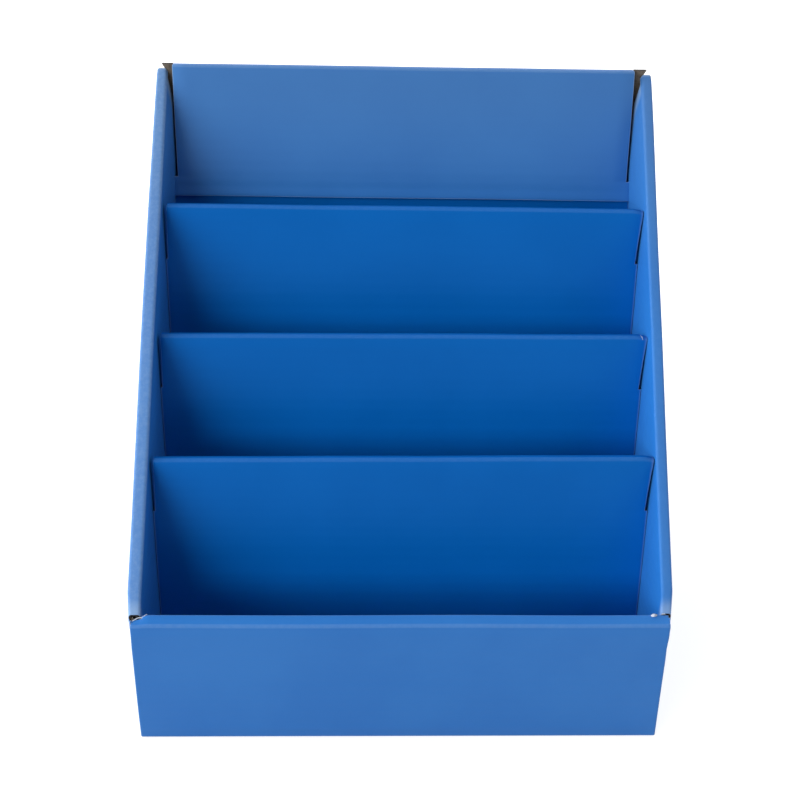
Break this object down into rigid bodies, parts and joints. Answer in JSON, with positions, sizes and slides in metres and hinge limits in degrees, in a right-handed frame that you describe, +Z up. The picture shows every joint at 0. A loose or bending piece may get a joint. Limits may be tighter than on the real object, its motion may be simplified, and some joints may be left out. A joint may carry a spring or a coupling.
{
  "type": "countertop display stand",
  "caption": "Folded cardboard counter display: low front, sloping doubled sides, and stepped pockets rising to a tall back.",
  "frame": {"origin": "centre of the underside", "axes": "+Z up, the low front panel faces -Y and the tall back faces +Y, +X runs across the width"},
  "size_m": [0.303, 0.228, 0.3315],
  "materials": {
    "tray_board": "blue printed board, satin, brown unprinted inside",
    "insert_board": "blue printed board, satin"
  },
  "bodies": {
    "root": {"tray": "tray_board", "step_insert": "insert_board"}
  },
  "joints": []
}
